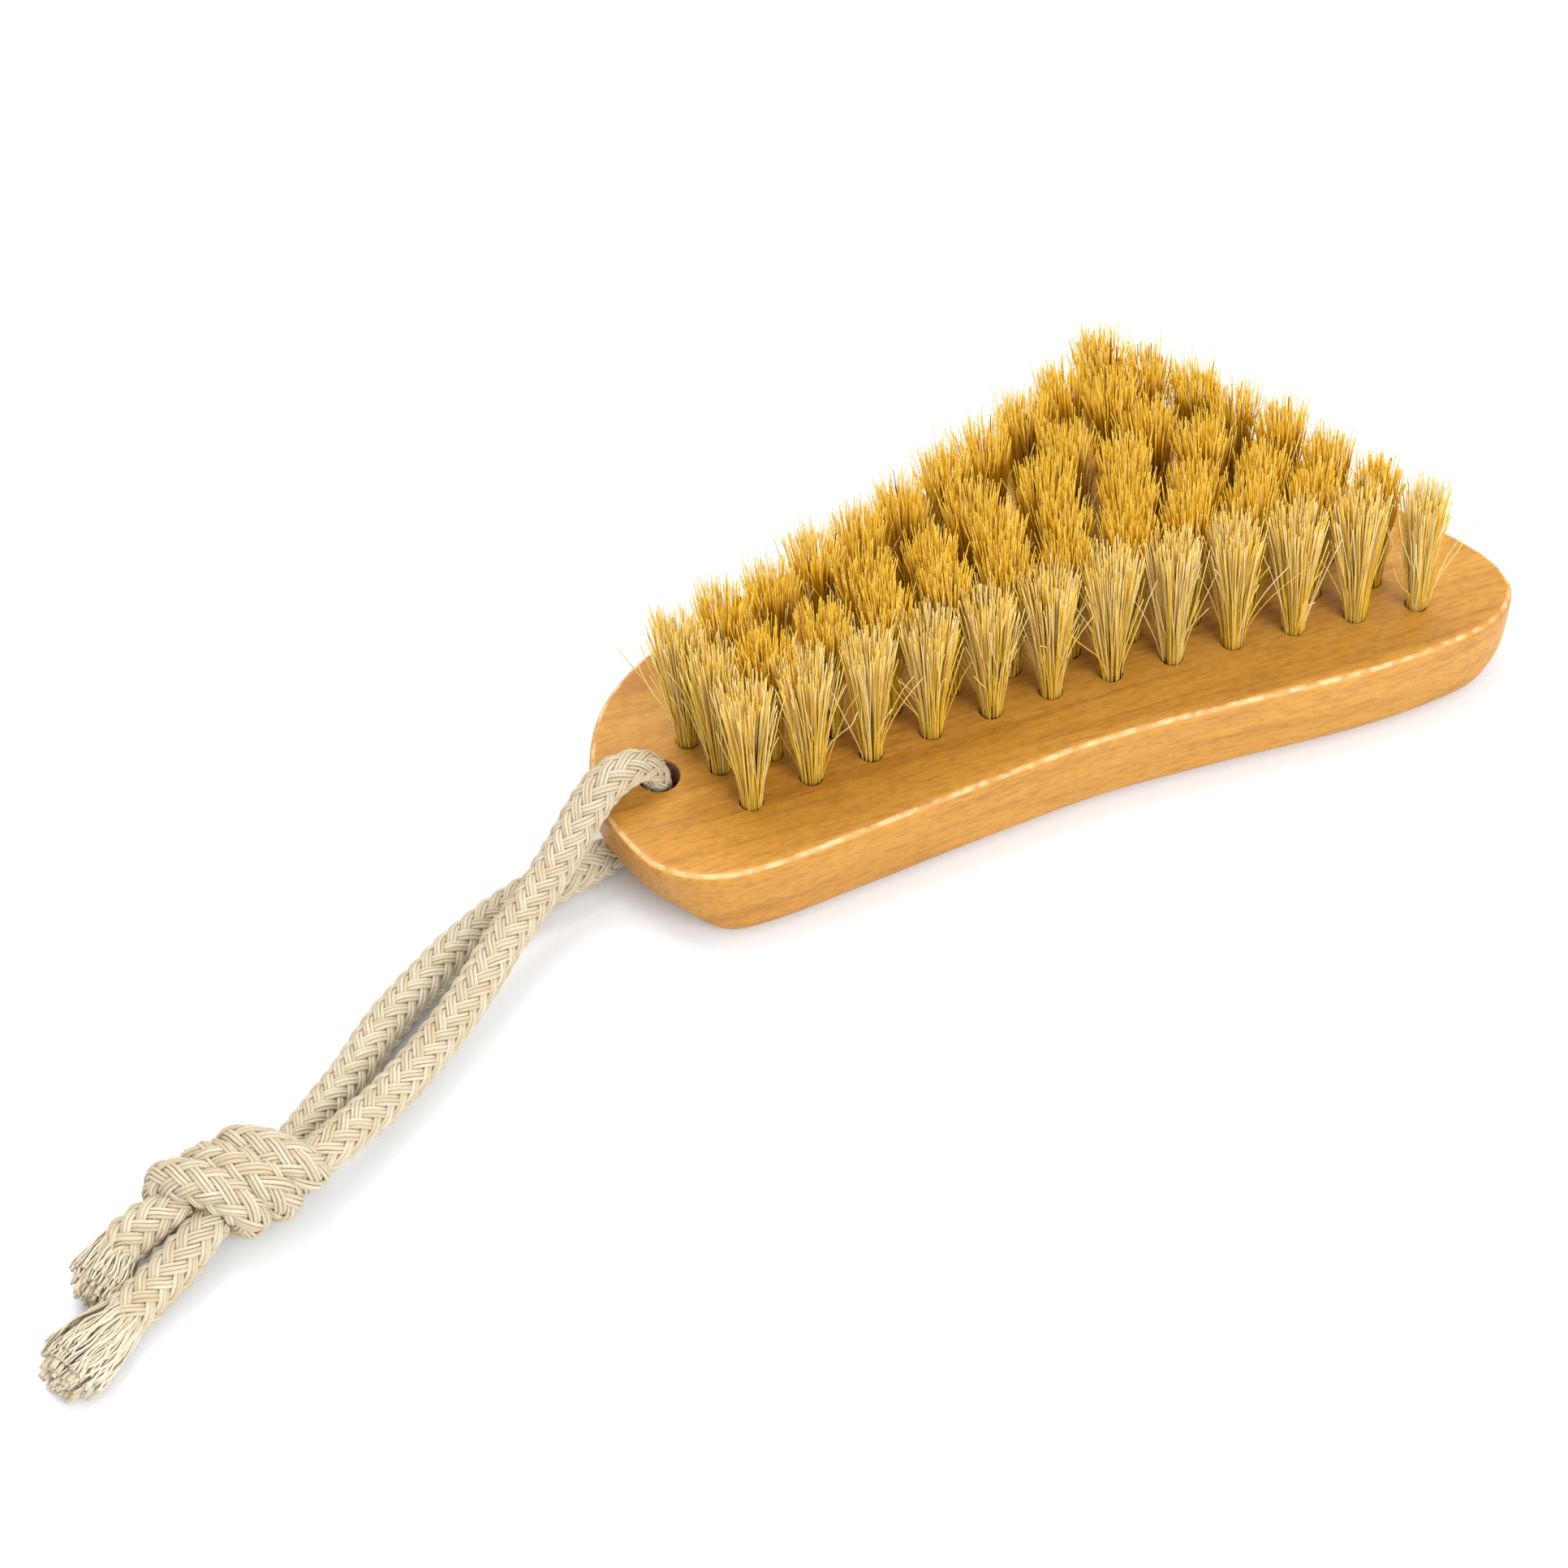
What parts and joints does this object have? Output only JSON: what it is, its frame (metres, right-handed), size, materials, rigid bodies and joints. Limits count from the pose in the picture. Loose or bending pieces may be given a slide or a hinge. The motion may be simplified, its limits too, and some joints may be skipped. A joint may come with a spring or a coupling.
{
  "type": "body dry brush",
  "caption": "Hand-held body dry brush: contoured wooden block with tufts of natural bristle on one face and a knotted braided cotton hanging cord through its narrow end.",
  "frame": {"origin": "on the flat back of the block, under the middle of its outline, measured without the cord", "axes": "+X along the block from the cord end to the wide end, +Y towards the wide bulging side, +Z out of the bristle face"},
  "size_m": [0.216, 0.1006, 0.0373],
  "materials": {
    "wood": "fine honey-coloured hardwood with a thin satin varnish",
    "bristle": "pale gold natural bristle with a few dark hairs",
    "cotton": "undyed matt braided cotton cord"
  },
  "bodies": {
    "root": {"wooden_block": "wood", "bristle_tuft_01": "bristle", "bristle_tuft_02": "bristle", "bristle_tuft_03": "bristle", "bristle_tuft_04": "bristle", "bristle_tuft_05": "bristle", "bristle_tuft_06": "bristle", "bristle_tuft_07": "bristle", "bristle_tuft_08": "bristle", "bristle_tuft_09": "bristle", "bristle_tuft_10": "bristle", "bristle_tuft_11": "bristle", "bristle_tuft_12": "bristle", "bristle_tuft_13": "bristle", "bristle_tuft_14": "bristle", "bristle_tuft_15": "bristle", "bristle_tuft_16": "bristle", "bristle_tuft_17": "bristle", "bristle_tuft_18": "bristle", "bristle_tuft_19": "bristle", "bristle_tuft_20": "bristle", "bristle_tuft_21": "bristle", "bristle_tuft_22": "bristle", "bristle_tuft_23": "bristle", "bristle_tuft_24": "bristle", "bristle_tuft_25": "bristle", "bristle_tuft_26": "bristle", "bristle_tuft_27": "bristle", "bristle_tuft_28": "bristle", "bristle_tuft_29": "bristle", "bristle_tuft_30": "bristle", "bristle_tuft_31": "bristle", "bristle_tuft_32": "bristle", "bristle_tuft_33": "bristle", "bristle_tuft_34": "bristle", "bristle_tuft_35": "bristle", "bristle_tuft_36": "bristle", "bristle_tuft_37": "bristle", "bristle_tuft_38": "bristle", "bristle_tuft_39": "bristle", "bristle_tuft_40": "bristle", "bristle_tuft_41": "bristle", "bristle_tuft_42": "bristle", "bristle_tuft_43": "bristle", "bristle_tuft_44": "bristle", "bristle_tuft_45": "bristle", "bristle_tuft_46": "bristle", "bristle_tuft_47": "bristle", "bristle_tuft_48": "bristle", "bristle_tuft_49": "bristle", "bristle_tuft_50": "bristle", "bristle_tuft_51": "bristle", "bristle_tuft_52": "bristle", "bristle_tuft_53": "bristle", "bristle_tuft_54": "bristle", "cord_upper_strand": "cotton", "cord_lower_strand": "cotton", "cord_knot": "cotton", "cord_short_tail": "cotton", "cord_long_tail": "cotton"}
  },
  "joints": []
}
